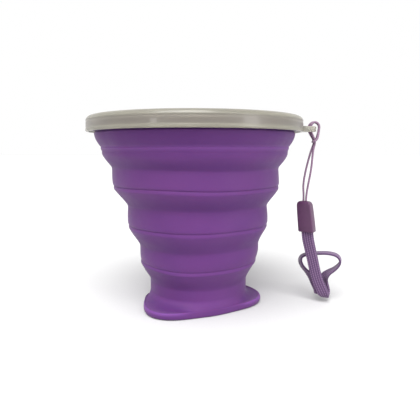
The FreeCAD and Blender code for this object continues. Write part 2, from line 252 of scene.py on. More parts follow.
def swept(name, line, sides, section):
    """Closed tube along a line: section(i, k) places corner k of the ring at point i."""
    points, faces, uvs = [], [], []
    along = lengths_along(line)
    for i in range(len(line)):
        points.extend(section(i, k) for k in range(sides))
    for i in range(len(line) - 1):
        for k in range(sides):
            n = (k + 1) % sides
            faces.append((i * sides + k, i * sides + n, (i + 1) * sides + n, (i + 1) * sides + k))
            v0, v1 = k / sides, (k + 1) / sides
            uvs.extend(((along[i], v0), (along[i], v1), (along[i + 1], v1), (along[i + 1], v0)))
    faces.append(tuple(range(sides)))
    uvs.extend([(0.0, 0.0)] * sides)
    faces.append(tuple(range((len(line) - 1) * sides, len(line) * sides)))
    uvs.extend([(along[-1], 0.0)] * sides)
    return make_piece(name, points, faces, uvs)


def tangents(line):
    """Unit direction of the line at each of its points."""
    last = len(line) - 1
    return [(line[min(i + 1, last)] - line[max(i - 1, 0)]).normalized() for i in range(last + 1)]


# ---- materials -------------------------------------------------------------------------
COLOUR_A, COLOUR_B, COLOUR_OUT = 6, 7, 2    # the colour sockets of a Mix node


class Look:
    """A procedural material under construction."""

    def __init__(self, name, **sockets):
        self.material = bpy.data.materials.new(name)
        self.material.use_nodes = True
        self.tree = self.material.node_tree
        self.shader = self.tree.nodes["Principled BSDF"]
        for socket, value in sockets.items():
            self.shader.inputs[socket.replace("_", " ")].default_value = value

    def add(self, kind, inputs=None, **settings):
        """A node with these settings. inputs maps socket names or numbers to values or sockets."""
        node = self.tree.nodes.new(kind)
        for key, value in settings.items():
            setattr(node, key, value)
        for key, value in (inputs or {}).items():
            self.put(node.inputs[key], value)
        return node

    def put(self, socket, value):
        """Links an output to a socket, or sets the socket's value."""
        if isinstance(value, bpy.types.NodeSocket):
            self.tree.links.new(value, socket)
        else:
            socket.default_value = value

    def place(self, kind="Object"):
        """Texture coordinates in metres."""
        return self.add("ShaderNodeTexCoord").outputs[kind]

    def noise(self, where, scale, detail=3.0, roughness=0.5):
        """Noise with this many features in a metre."""
        node = self.add("ShaderNodeTexNoise", {"Vector": where, "Scale": scale, "Detail": detail,
                                               "Roughness": roughness})
        return node.outputs["Fac"]

    def maths(self, operation, *values):
        """A maths node's output."""
        node = self.add("ShaderNodeMath", dict(enumerate(values)), operation=operation)
        return node.outputs[0]

    def blend(self, share, first, second):
        """Colour between first and second."""
        node = self.add("ShaderNodeMix", {"Factor": share}, data_type="RGBA")
        self.put(node.inputs[COLOUR_A], first)
        self.put(node.inputs[COLOUR_B], second)
        return node.outputs[COLOUR_OUT]

    def scaled(self, value, low, high, from_low=0.0, from_high=1.0):
        """value moved from one range to another."""
        node = self.add("ShaderNodeMapRange", {"Value": value, "From Min": from_low, "From Max": from_high,
                                               "To Min": low, "To Max": high})
        return node.outputs["Result"]

    def bump(self, height, deep, strength=1.0, over=None):
        """Normal with this relief, in metres."""
        inputs = {"Height": height, "Distance": deep, "Strength": strength}
        if over:
            inputs["Normal"] = over
        return self.add("ShaderNodeBump", inputs).outputs["Normal"]

    def finish(self, colour=None, roughness=None, normal=None):
        """Links what varies over the surface."""
        for name, value in (("Base Color", colour), ("Roughness", roughness), ("Normal", normal)):
            if value is not None:
                self.put(self.shader.inputs[name], value)
        return self.material


def silicone_look():
    """Matte purple silicone: fine grain, painted shade on the webs, the bowl and the foot's hollows, and
    painted highlights on the lips, the ridge and the foot's border.
    """
    look = Look("silicone", Specular_IOR_Level=0.2, Sheen_Weight=0.08, Sheen_Roughness=0.5,
                Subsurface_Weight=0.06, Subsurface_Scale=0.002)
    where = look.place()
    mottling = look.noise(where, 38.0, 4.0)
    grain = look.noise(where, 5200.0, 2.0)
    handled = look.noise(where, 130.0, 5.0, 0.6)
    colour = look.blend(look.scaled(mottling, 0.0, 1.0, 0.3, 0.7),
                        (0.090, 0.023, 0.140, 1.0), (0.106, 0.028, 0.152, 1.0))
    # Painted shade: this attribute darkens the colour on the webs where they face down, in the bowl under
    # the lid and in the foot's hollows.
    painted_shade = look.add("ShaderNodeAttribute", attribute_name="painted_shade").outputs["Fac"]
    colour = look.blend(look.maths("MULTIPLY", painted_shade, 0.55), colour, (0.066, 0.014, 0.114, 1.0))
    # Painted highlight: the "edge" attribute lightens the colour on the lips, on the ridge below the bowl
    # and on the foot's border.
    edge = look.add("ShaderNodeAttribute", attribute_name="edge").outputs["Fac"]
    colour = look.blend(edge, colour, (0.140, 0.043, 0.212, 1.0))
    rough = look.scaled(handled, 0.52, 0.68, 0.3, 0.7)
    swell = look.bump(handled, 0.00025, 0.2)
    return look.finish(colour, rough, look.bump(grain, 0.00003, 0.5, swell))


RIM_SHOWS = ((0.0742, 0.0749), (0.0772, 0.0780))    # heights in metres where the tint fades in and out
LUG_STARTS = (0.0446, 0.0462)   # distances from the axis, in metres, where the pale lug fades in


def lid_look():
    """Frosted translucent plastic, tinted where the rim shows through and pale in the thin lug."""
    look = Look("lid_plastic", IOR=1.45, Transmission_Weight=0.72, Specular_IOR_Level=0.3,
                Coat_Weight=0.25, Coat_Roughness=0.12, Coat_IOR=1.5)
    where = look.place()
    cloud = look.noise(where, 60.0, 3.0)
    flow = look.noise(where, 220.0, 2.0)
    colour = look.blend(cloud, (0.385, 0.366, 0.300, 1.0), (0.545, 0.519, 0.425, 1.0))
    apart = look.add("ShaderNodeSeparateXYZ", {"Vector": where})
    above = look.scaled(apart.outputs["Z"], 0.0, 1.0, *RIM_SHOWS[0])
    below = look.scaled(apart.outputs["Z"], 1.0, 0.0, *RIM_SHOWS[1])
    colour = look.blend(look.maths("MULTIPLY", above, below), colour, (0.385, 0.352, 0.31, 1.0))
    thin = look.scaled(apart.outputs["X"], 0.0, 1.0, *LUG_STARTS)
    colour = look.blend(thin, colour, (0.60, 0.58, 0.50, 1.0))
    return look.finish(colour, look.scaled(flow, 0.34, 0.42), look.bump(flow, 0.00004, 0.2))


def steel_look():
    """Stainless steel, brushed round the rim."""
    look = Look("rim_steel", Metallic=1.0)
    where = look.place("UV")
    stretched = look.add("ShaderNodeMapping", {"Vector": where, "Scale": (60.0, 9000.0, 1.0)})
    brushed = look.noise(stretched.outputs["Vector"], 1.0, 3.0, 0.7)
    colour = look.blend(look.scaled(brushed, 0.0, 1.0, 0.3, 0.7), (0.50, 0.49, 0.48, 1.0),
                        (0.64, 0.63, 0.62, 1.0))
    return look.finish(colour, look.scaled(brushed, 0.22, 0.40, 0.3, 0.7),
                       look.bump(brushed, 0.00001, 0.4))


def crimp_look():
    """Satin plum plastic."""
    look = Look("crimp_plastic", Specular_IOR_Level=0.5)
    where = look.place()
    grain = look.noise(where, 7000.0, 3.0)
    smear = look.noise(where, 260.0, 4.0)
    colour = look.blend(look.scaled(smear, 0.0, 1.0, 0.3, 0.7), (0.068, 0.020, 0.063, 1.0),
                        (0.090, 0.028, 0.083, 1.0))
    return look.finish(colour, look.scaled(smear, 0.34, 0.5, 0.3, 0.7), look.bump(grain, 0.00003, 0.6))


def cord_look():
    """Braided cord: two sets of strands cross, in UVs of metres along and turns round."""
    look = Look("cord", Sheen_Weight=0.3, Sheen_Roughness=0.4, Specular_IOR_Level=0.3)
    where = look.add("ShaderNodeSeparateXYZ", {"Vector": look.place("UV")})
    along = look.maths("MULTIPLY", where.outputs["X"], 2 * math.pi / (CORD_BRAID * MM))
    turn = look.maths("MULTIPLY", where.outputs["Y"], 2 * math.pi * CORD_STRANDS)
    one = look.maths("SINE", look.maths("ADD", along, turn))
    other = look.maths("SINE", look.maths("SUBTRACT", along, turn))
    weave = look.scaled(look.maths("MULTIPLY", one, other), 0.0, 1.0, -1.0, 1.0)
    fibre = look.noise(look.place(), 9000.0, 2.0)
    mixed = look.maths("ADD", look.maths("MULTIPLY", weave, 0.8), look.maths("MULTIPLY", fibre, 0.3))
    colour = look.blend(mixed, (0.105, 0.052, 0.100, 1.0), (0.31, 0.20, 0.29, 1.0))
    return look.finish(colour, look.scaled(fibre, 0.6, 0.85), look.bump(mixed, 0.00006, 0.7))


def strap_look():
    """Ribbed webbing: lengthwise ribs of crossing threads, with darker gaps between them."""
    look = Look("strap", Sheen_Weight=0.35, Sheen_Roughness=0.4, Specular_IOR_Level=0.25)
    where = look.add("ShaderNodeSeparateXYZ", {"Vector": look.place("UV")})
    along = look.maths("MULTIPLY", where.outputs["X"], 2 * math.pi / (STRAP_PICK * MM))
    rib_turn = look.maths("MULTIPLY", where.outputs["Y"], 2 * math.pi * STRAP_RIBS * 2)
    ribs = look.scaled(look.maths("COSINE", rib_turn), 0.0, 1.0, -1.0, 1.0)
    slant = look.maths("ADD", along, look.maths("MULTIPLY", rib_turn, 0.5))
    threads = look.scaled(look.maths("SINE", slant), 0.0, 1.0, -1.0, 1.0)
    fibre = look.noise(look.place(), 9000.0, 2.0)
    ridge = look.maths("SUBTRACT", 1.0, ribs)
    raised = look.maths("MULTIPLY", ridge, look.maths("ADD", look.maths("MULTIPLY", threads, 0.75), 0.3))
    mixed = look.maths("ADD", raised, look.maths("MULTIPLY", fibre, 0.15))
    colour = look.blend(mixed, (0.050, 0.023, 0.070, 1.0), (0.22, 0.133, 0.245, 1.0))
    return look.finish(colour, look.scaled(fibre, 0.65, 0.9), look.bump(raised, 0.00008, 0.6))


# ---- silicone body ---------------------------------------------------------------------
BAND_WALL, WEB_WALL = 2.0, 1.25
SEAM = 0.05             # gap in the CAD between a band's foot and the web below it, closed here
CREASE_DEEP = 0.24      # groove between a band's foot and the web below it
LIP_DOWN, LIP_OUT = 0.9, 0.06   # lip at a web's top: how far below the groove it is, and stands out
LIP_TALL = 0.7          # from that lip down to the plain web
WEB_STEPS = 14
TOP_BULGE, CREASED_BULGE, LOWEST_BULGE = 1.3, 1.0, 0.8  # the lower webs are straighter than the top one
NECK_R = 21.3
LOBE_MEAN_R, LOBE_THIRD_R, LOBE_SIXTH_R = 24.75, 3.35, 0.6
LOBE_LEAST, LOBE_FULL = 2.0, 5.0    # a lobe's reach where its relief starts, and where it is complete

# How dark the painted shade is: the lid's painted shadow in the bowl, darker still above the line just
# below the lid, and in the foot's hollows under the body.
BOWL_SHADE, LINE_SHADE, HOLLOW_SHADE = 0.65, 1.05, 1.25
BOWL_Z, SHADE_LINE_Z, HOLLOW_Z = 67.4, 72.9, 5.0
# How strong the painted highlight is: on the ridge below the bowl, on the other lips and on the foot's
# border.
RIDGE_LIGHT, LIP_LIGHT, BORDER_LIGHT = 0.8, 0.05, 0.85
BORDER_MORE, BORDER_Z = 0.5, 3.6    # how much stronger the border's painted highlight is towards +X, where the window light is, and how high it reaches
LIP_MARK, LIP_SPAN = 0.95, 1.3  # how far below a web's top the painted highlight on the lip is, and half its width

# The wall is soft, so it is a little uneven and leans.
WAVE, WAVE_LOW_Z, WAVE_HIGH_Z = 0.24, 10.0, 66.0    # height of its waves, and where they end
DENT = 0.16             # depth of the dents in the webs
SWAY = 0.95             # how far the wall above the foot sits towards +X
SAG, SAG_Z, SAG_SPAN = 0.6, 24.5, 5.0   # how much further it sits near the fourth band
FOOT_LEAN = 1.2         # how far the foot sits towards -Y
FOOT_SKEW = 0.035       # and how much more for each millimetre towards +X
TUCK = 2.8              # how much the back of the lobe at -X is drawn in
FOOT_ENDS, SWAY_ENDS = (2.8, 6.2), (36.0, 60.0)     # heights between which the foot and the sway fade out
TUCK_X_ENDS, TUCK_Y_ENDS = (12.0, 20.0), (-9.0, 1.0)    # and where the tuck fades in, along -X and +Y


def lobe_reach(angle):
    """How far the foot's outline stands out from the neck at an angle from +X."""
    outline = LOBE_MEAN_R + LOBE_THIRD_R * math.cos(3 * angle) + LOBE_SIXTH_R * math.cos(6 * angle)
    return max(outline - NECK_R, 0.0)


def ring_of(node):
    """Outer radius, foot height and top height of a round CAD node, in millimetres."""
    low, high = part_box(node)
    return (high.y - low.y) / 2 / MM, low.z / MM, high.z / MM


def web_curve(top, foot, inwards=0.0, bulge=TOP_BULGE):
    """Outline down a web, rounded over at its top and straight below, without its two end points."""
    points = []
    for i in range(1, WEB_STEPS - 1):
        t = i / WEB_STEPS
        share = 0.75 * t ** bulge + 0.25 * t * t * (3 - 2 * t)
        radius = top[0] + (foot[0] - top[0]) * share - inwards
        points.append((radius, top[1] + (foot[1] - top[1]) * t, 0.0))
    return points


def creased_web(web_r, top_z, foot, bulge):
    """Outer corners of a web from its top edge, starting with a groove and a soft lip."""
    lip_z = top_z - LIP_DOWN
    corners = [(web_r - CREASE_DEEP, top_z, 0.0), (web_r + LIP_OUT, lip_z, 0.5),
               (web_r + 0.02, lip_z - LIP_TALL, 0.3)]
    return corners + web_curve((web_r, lip_z - LIP_TALL), foot, bulge=bulge)


def tier_corners(web, band, draft, taper, creased):
    """Outer corners of a tier from the top of its web to the foot of its band, and its inner ones."""
    web_r, _, top_z = ring_of(web)
    band_r, foot_z, band_top = ring_of(band)
    foot_z -= SEAM
    top_r, foot_r = band_r - draft, band_r - taper
    belly = foot_z + (band_top - foot_z) * 0.45
    if creased:
        outer = creased_web(web_r, top_z, (top_r, band_top), CREASED_BULGE)
    else:
        outer = [(web_r, top_z, 0.0)] + web_curve((web_r, top_z - 0.3), (top_r, band_top))
    outer += [(top_r, band_top, 1.2), (band_r, belly, 1.6), (foot_r, foot_z + 0.6, 0.6),
              (foot_r - CREASE_DEEP, foot_z, 0.0)]
    inner = [(foot_r - BAND_WALL, foot_z, 0.3), (top_r - BAND_WALL, band_top - 0.4, 0.8)]
    inner += reversed(web_curve((web_r, top_z), (top_r, band_top), WEB_WALL))
    inner += [(web_r - WEB_WALL, top_z, 0.0)]
    return outer, inner


def fade_in(value, low, high):
    """0 below low, 1 above high, and smooth between them."""
    t = min(max((value - low) / (high - low), 0.0), 1.0)
    return t * t * (3 - 2 * t)


def on_lobe(x, y):
    """Share of the way from the neck to the foot's edge, and how much of a lobe there is on this side."""
    reach = lobe_reach(math.atan2(y, x))
    return (math.hypot(x, y) - NECK_R) / max(reach, LOBE_LEAST), fade_in(reach, LOBE_LEAST, LOBE_FULL)


def painted_light_at(x, y, z, lip_z, lip_light):
    """How much painted highlight a point gets: on a lip below a groove, or on the raised border of the
    foot.
    """
    if abs(z - lip_z) < LIP_SPAN:
        return lip_light * (1 - abs(z - lip_z) / LIP_SPAN)
    if z > BORDER_Z:
        return 0.0
    share, relief = on_lobe(x, y)
    border = BORDER_LIGHT + BORDER_MORE * fade_in(x, -5.0, 15.0)
    return border * fade_in(share, 0.86, 0.95) * fade_in(z, 1.4, 2.8) * relief


def painted_shade_at(x, y, z):
    """How much painted shade a point gets: in the hollow of the foot's lobes, or as the lid's painted
    shadow in the bowl below the lid.
    """
    if z > BOWL_Z:
        return BOWL_SHADE + LINE_SHADE * fade_in(z, SHADE_LINE_Z - 0.3, SHADE_LINE_Z)
    if z > HOLLOW_Z:
        return 0.0
    share, relief = on_lobe(x, y)
    return HOLLOW_SHADE * fade_in(share, 0.0, 0.15) * (1 - fade_in(share, 0.4, 0.75)) * relief


def web_painted_shade(down, web_top):
    """How much painted shade a web gets this share of the way down, where it faces down into its fold. The
    lower webs get less.
    """
    painted_shade_depth = 0.5 + 0.5 * fade_in(web_top, 18.0, 58.0)
    return fade_in(down, 0.25, 0.75) * (1 - 0.6 * fade_in(down, 0.84, 1.0)) * painted_shade_depth


def lean(x, y, z):
    """How far a point of the limp wall sits towards +X and +Y of its true place."""
    in_foot = 1 - fade_in(z, *FOOT_ENDS)
    sway = SWAY * (1 - in_foot) * (1 - fade_in(z, *SWAY_ENDS))
    sag = SAG * math.exp(-(((z - SAG_Z) / SAG_SPAN) ** 2))
    tuck = TUCK * fade_in(-x, *TUCK_X_ENDS) * fade_in(y, *TUCK_Y_ENDS) * in_foot
    return sway + sag + tuck, -(FOOT_LEAN + FOOT_SKEW * x) * in_foot


def unevenness(angle, z, down, web_top):
    """How far a point of the wall stands out, and how far up it is, because the moulding is soft."""
    fade = min((z - WAVE_LOW_Z) / 4, (WAVE_HIGH_Z - z) / 2, 1.0)
    wave = math.sin(2 * angle + 0.11 * z) + 0.5 * math.sin(5 * angle + 1.9 - 0.07 * z)
    out = WAVE * 0.3 * math.sin(3 * angle + 0.8 + 0.13 * z)
    if 0.0 <= down <= 1.0:
        dents = math.sin(7 * angle + 0.7 * web_top) + 0.7 * math.sin(4 * angle + web_top)
        out += DENT * dents * math.sin(math.pi * down) ** 2
    return out * fade, WAVE * wave * fade


def soften(piece, web_top, web_foot, lip_z, lip_light=LIP_LIGHT):
    """Gives the moulded wall its slight unevenness, and marks where shade and highlights are painted on
    it.
    """
    # The first attribute holds painted shade, and the "edge" attribute holds painted highlights.
    painted_shade = piece.data.attributes.new("painted_shade", "FLOAT", "POINT")
    edge = piece.data.attributes.new("edge", "FLOAT", "POINT")
    for vertex, painted_shade_mark, painted_light_mark in zip(piece.data.vertices, painted_shade.data, edge.data):
        x, y, z = (c / MM for c in vertex.co)
        angle, radius = math.atan2(y, x), math.hypot(x, y)
        down = (web_top - z) / (web_top - web_foot)
        in_web = 0.0 <= down <= 1.0
        painted_shade_mark.value = web_painted_shade(down, web_top) if in_web else painted_shade_at(x, y, z)
        painted_light_mark.value = painted_light_at(x, y, z, lip_z, lip_light)
        right, back = lean(x, y, z)
        out, up = 0.0, 0.0
        if radius >= NECK_R / 2 and WAVE_LOW_Z < z < WAVE_HIGH_Z:
            out, up = unevenness(angle, z, down, web_top)
        vertex.co.x += (right + out * math.cos(angle)) * MM
        vertex.co.y += (back + out * math.sin(angle)) * MM
        vertex.co.z += up * MM


def make_tier(name, web, band, draft, taper, creased, parent, body, material):
    """One folding tier: the web that rolls over and the stiff band below it."""
    outer, inner = tier_corners(web, band, draft, taper, creased)
    piece = lathe(name, rounded(outer + inner))
    piece.data.materials.append(material)
    _, web_foot, web_top = ring_of(web)
    soften(piece, web_top, web_foot, web_top - LIP_MARK if creased else 0.0)
    roll(piece)
    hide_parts(web, band)


def roll(piece):
    """Bakes the piece's placement into its mesh."""
    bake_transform(piece)


def make_rim(material):
    """Bowl-shaped top of the body with its lip, and the short straight foot under it."""
    foot_r, foot_z = ring_of("upper_web")[0], ring_of("rim_band")[1] - SEAM
    top_r, ring_z, corner_z = 41.7, 73.4, 66.9
    lip_r, lip_inner_r, lip_z = 42.25, 40.3, 76.3
    ring_inner_r, hem_z = 39.75, 74.9
    inner_foot_r = foot_r - BAND_WALL
    ridge_z, bowl_r, bowl_z = corner_z - 0.1, foot_r + 0.3, corner_z + 0.25
    shade_z = SHADE_LINE_Z - 0.1
    outer = [(foot_r, foot_z, 0.0), (foot_r, foot_z + 0.6, 0.3), (foot_r + 0.5, ridge_z, 0.2),
             (bowl_r, bowl_z, 0.15)]
    steps = 12
    for i in range(1, steps):
        t = i / steps
        out = math.sin(t * math.pi / 2) ** 0.9
        outer.append((bowl_r + (top_r - bowl_r) * out, bowl_z + (shade_z - bowl_z) * t, 0.0))
    lip = [(top_r, shade_z, 0.1), (top_r - 0.5, shade_z + 0.15, 0.1), (top_r - 0.5, ring_z, 0.0),
           (lip_r, ring_z + 0.3, 0.15), (lip_r, lip_z, 0.5), (lip_inner_r, lip_z, 0.4),
           (lip_inner_r, hem_z, 0.0), (ring_inner_r, hem_z, 0.1), (ring_inner_r, ring_z, 0.0)]
    inner = [(top_r - BAND_WALL - 0.75, corner_z + 3.1, 2.0), (inner_foot_r, corner_z, 1.2),
             (inner_foot_r, foot_z, 0.3)]
    piece = lathe("body_rim", rounded(outer + lip + inner))
    piece.data.materials.append(material)
    soften(piece, foot_z, foot_z - 1.0, ridge_z, RIDGE_LIGHT)
    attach(piece, "rim")
    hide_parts("rim_band")


FOOT_SIDE = (           # height, share of the lobe's reach and how far the edge is rounded off
    (8.2, 0.0, 0.0), (7.4, 0.0, 0.0), (6.4, 0.0, 0.0), (5.3, 0.01, 0.0), (4.4, 0.06, 0.0),
    (3.7, 0.15, 0.0), (3.15, 0.28, 0.0), (2.85, 0.45, 0.0), (2.75, 0.63, 0.0), (2.85, 0.78, 0.0),
    (3.05, 0.88, 0.0), (2.85, 0.96, 0.0), (2.2, 1.0, 0.0), (1.5, 1.0, 0.0), (0.85, 0.99, 0.05),
    (0.35, 0.96, 0.2), (0.05, 0.9, 0.45))
FOOT_STEPS = 4          # outline points between two of those rows


def foot_side():
    """Outline points of the foot's side with their lobe shares, on a smooth curve."""
    rows = [FOOT_SIDE[0], *FOOT_SIDE, FOOT_SIDE[-1]]
    points, shares = [], []
    for p0, p1, p2, p3 in zip(rows, rows[1:], rows[2:], rows[3:]):
        for i in range(FOOT_STEPS):
            t = i / FOOT_STEPS
            z, share, rounding = (
                0.5 * (2 * b + (c - a) * t + (2 * a - 5 * b + 4 * c - d) * t ** 2
                       + (3 * b - a - 3 * c + d) * t ** 3)
                for a, b, c, d in zip(p0, p1, p2, p3))
            points.append((NECK_R - rounding, z))
            shares.append(share)
    return points, shares


def make_base(material):
    """Lowest tier: its web, the straight neck, the three-lobed foot and the cup's floor."""
    web_r, web_foot, top_z = ring_of("lower_web")
    floor_z, corner = 3.0, 1.6
    inner_r = NECK_R - BAND_WALL
    web = creased_web(web_r, top_z, (NECK_R, web_foot), LOWEST_BULGE)
    web += [(NECK_R, web_foot, 1.1), (NECK_R, web_foot - 1.5, 0.0)]
    outline = rounded(web, closed=False)[:-1]
    side, shares = foot_side()
    lobes = [0.0] * len(outline) + shares
    outline += side
    under = [(19.5, 0.0), (17.0, 0.0), (16.4, 0.35), (0.0, 0.35)]
    lobes += [0.8, 0.0, 0.0, 0.0]
    inside = [(0.0, floor_z, 0.0), (inner_r, floor_z, corner), (inner_r, web_foot - 0.4, 0.8)]
    inside += reversed(web_curve((web_r, top_z), (NECK_R, web_foot), WEB_WALL, LOWEST_BULGE))
    inside = rounded(inside + [(web_r - WEB_WALL, top_z, 0.0)], closed=False)
    outline += under
    lobes += [0.0] * len(inside)
    outline += inside
    piece = lathe_with_poles("body_base", outline, lobes)
    piece.data.materials.append(material)
    soften(piece, top_z, web_foot, top_z - LIP_MARK)
    roll(piece)
    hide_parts("lower_web", "base_foot")


def lathe_with_poles(name, outline, lobes):
    """A closed outline that crosses the axis twice: the span along the axis itself has no faces."""
    crossing = [i for i, (r, z) in enumerate(outline) if r == 0]
    start = crossing[1]
    ordered = outline[start:] + outline[:start]
    shares = lobes[start:] + lobes[:start]
    return lathe(name, ordered, closed=False, lobes=shares)


TIERS = (   # piece, its web and band, draft and taper of the band, whether creased, body above, own body
    ("body_second_tier", "upper_web", "second_band", 0.25, 0.0, False, "rim", "second_tier"),
    ("body_third_tier", "second_web", "third_band", 0.4, 0.0, True, "second_tier", "third_tier"),
    ("body_fourth_tier", "third_web", "fourth_band", 0.0, 0.4, True, "third_tier", "fourth_tier"))

silicone = silicone_look()
make_rim(silicone)
for tier in TIERS:
    make_tier(*tier, silicone)
make_base(silicone)

# ---- rim ring and lid ------------------------------------------------------------------
RING_WALL = 0.5


def make_ring():
    """Rolled sheet-steel ring that hooks over the silicone lip."""
    outer_r, skirt_z, top_z = ring_of("rim_ring")
    inner_r, hem_z = 39.75, 75.0
    roll_r = (outer_r - inner_r) / 2
    middle, shoulder = inner_r + roll_r, top_z - 0.75
    corners = [(outer_r, skirt_z + 0.2, 0.15), (outer_r, shoulder, 0.0)]
    steps = 14
    for wall, turns in ((0.0, range(1, steps)), (RING_WALL, range(steps - 1, 0, -1))):
        arch = []
        for i in turns:
            angle = math.pi * i / steps
            arch.append((middle + (roll_r - wall) * math.cos(angle),
                         shoulder + (top_z - shoulder - wall) * math.sin(angle), 0.0))
        if wall == 0.0:
            corners += arch + [(inner_r, shoulder, 0.0), (inner_r, hem_z, 0.1),
                               (inner_r + RING_WALL, hem_z, 0.1), (inner_r + RING_WALL, shoulder, 0.0)]
        else:
            corners += arch
    corners += [(outer_r - RING_WALL, shoulder, 0.0), (outer_r - RING_WALL, skirt_z, 0.1),
                (outer_r, skirt_z, 0.1)]
    piece = lathe("steel_rim", rounded(corners, steps=3))
    piece.data.materials.append(steel_look())
    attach(piece, "rim")
    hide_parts("rim_ring")


def make_lid(material):
    """Cap: skirt with a bead inside, rounded edge, recessed top with a gate mark, and plug wall."""
    lid_r, skirt_z, top_z = ring_of("lid")
    wall = 1.2
    recess_r, recess_deep = 39.4, 0.7
    skin_z = top_z - recess_deep - wall
    plug_r, plug_z = 39.3, 74.2
    skirt_r = lid_r - wall
    outline = rounded([
        (0.0, top_z - recess_deep - 0.25, 0.0), (1.4, top_z - recess_deep - 0.25, 0.1),
        (1.9, top_z - recess_deep, 0.15), (recess_r - 2.0, top_z - recess_deep, 0.3),
        (recess_r, top_z - recess_deep, 0.5), (recess_r + 0.45, top_z - 0.05, 0.45),
        (recess_r + 1.4, top_z, 0.7), (lid_r - 2.2, top_z, 1.0), (lid_r - 0.95, top_z - 0.5, 0.6),
        (lid_r - 0.25, top_z - 1.5, 0.4), (lid_r - 0.2, top_z - 1.9, 0.2),
        (lid_r - 0.3, top_z - 2.3, 0.3), (lid_r - 0.14, top_z - 2.9, 0.35),
        (lid_r - 0.14, skirt_z + 1.3, 0.2), (lid_r, skirt_z + 0.95, 0.2), (lid_r, skirt_z, 0.45),
        (skirt_r, skirt_z, 0.25), (skirt_r, skirt_z + 0.5, 0.2), (skirt_r - 0.7, skirt_z + 1.1, 0.4),
        (skirt_r, skirt_z + 1.8, 0.3), (skirt_r, skin_z - 0.2, 1.0), (lid_r - 3.0, skin_z, 0.5),
        (plug_r, skin_z, 0.3), (plug_r, plug_z, 0.5), (plug_r - 1.0, plug_z, 0.45),
        (plug_r - 1.0, skin_z, 0.4), (0.0, skin_z, 0.0)], closed=False)
    piece = lathe("lid_cap", outline, closed=False)
    piece.data.materials.append(material)
    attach(piece, "lid")
    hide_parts("lid")


LUG_HOLE_X, LUG_HOLE_R, LUG_END_R = 47.7, 1.6, 2.7
LUG_ROOT_X, LUG_ROOT_HALF, LUG_FLARE = 43.9, 5.2, 1.9
LUG_LOW, LUG_HIGH = 73.4, 75.6
LUG_RINGS = (           # share of the way from the hole's edge to the outer edge, and the height
    (0.0, LUG_LOW + 0.35), (0.12, LUG_LOW), (0.72, LUG_LOW), (0.92, LUG_LOW + 0.12),
    (1.0, LUG_LOW + 0.45), (1.0, LUG_HIGH - 0.45), (0.92, LUG_HIGH - 0.12), (0.72, LUG_HIGH),
    (0.12, LUG_HIGH), (0.0, LUG_HIGH - 0.35))


def in_lug(x, y):
    """Whether a point is inside the lug's outline: round at its end, flared where it meets the skirt."""
    if x > LUG_HOLE_X:
        return math.hypot(x - LUG_HOLE_X, y) < LUG_END_R
    share = (LUG_HOLE_X - x) / (LUG_HOLE_X - LUG_ROOT_X)
    half = LUG_END_R + (LUG_ROOT_HALF - LUG_END_R) * share ** 1.15 + LUG_FLARE * share ** 4
    return x > LUG_ROOT_X and abs(y) < half


def lug_reach(angle):
    """How far the lug's edge is from the hole's middle at an angle from +X, by halving."""
    near, far = LUG_HOLE_R, 2 * LUG_ROOT_HALF
    for _ in range(24):
        middle = (near + far) / 2
        if in_lug(LUG_HOLE_X + middle * math.cos(angle), middle * math.sin(angle)):
            near = middle
        else:
            far = middle
    return near


def make_lug(material):
    """Flat ear on the skirt with a rounded edge and an eased hole."""
    steps = 96
    points, faces = [], []
    for share, z in LUG_RINGS:
        for i in range(steps):
            angle = 2 * math.pi * i / steps - math.pi
            reach = LUG_HOLE_R + (lug_reach(angle) - LUG_HOLE_R) * share
            x, y = LUG_HOLE_X + reach * math.cos(angle), reach * math.sin(angle)
            points.append((x * MM, y * MM, z * MM))
    for k in range(len(LUG_RINGS)):
        upper = (k + 1) % len(LUG_RINGS)
        for i in range(steps):
            n = (i + 1) % steps
            faces.append((k * steps + i, k * steps + n, upper * steps + n, upper * steps + i))
    piece = make_piece("lid_lug", points, faces)
    piece.data.materials.append(material)
    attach(piece, "lid")


make_ring()
lid_plastic = lid_look()
make_lid(lid_plastic)
make_lug(lid_plastic)

# ---- lanyard ---------------------------------------------------------------------------
CORD_BRAID, CORD_STRANDS = 1.5, 4       # pitch in millimetres, and strands each way
CORD_STEP, STRAP_STEP = 0.16, 0.2       # between the rings of their meshes
STRAP_RIBS, STRAP_PICK = 5, 0.85        # ribs across, and the spacing of the cross threads
FOLD_NARROW, FOLD_Z, FOLD_SPAN = 0.3, 2.0, 3.2  # the webbing draws in where it folds near the floor
CRIMP_SECTIONS = (      # share of the way down, width, depth
    (0.0, 4.6, 3.2), (0.04, 5.3, 3.7), (0.12, 6.0, 4.05), (0.35, 6.3, 4.3),
    (0.7, 6.5, 4.45), (1.0, 6.6, 4.6))
CRIMP_RINGS = (         # share of the way down, and how far inside that size: shoulder, side, open foot
    (0.0, 1.5), (0.0, 0.8), (0.008, 0.45), (0.025, 0.18), (0.05, 0.04), (0.09, 0.0), (0.14, 0.0),
    (0.25, 0.0), (0.4, 0.0), (0.6, 0.0), (0.8, 0.0), (0.95, 0.0), (0.985, 0.04), (1.0, 0.18),
    (1.0, 0.5), (0.985, 0.62), (0.93, 0.66), (0.9, 0.8))


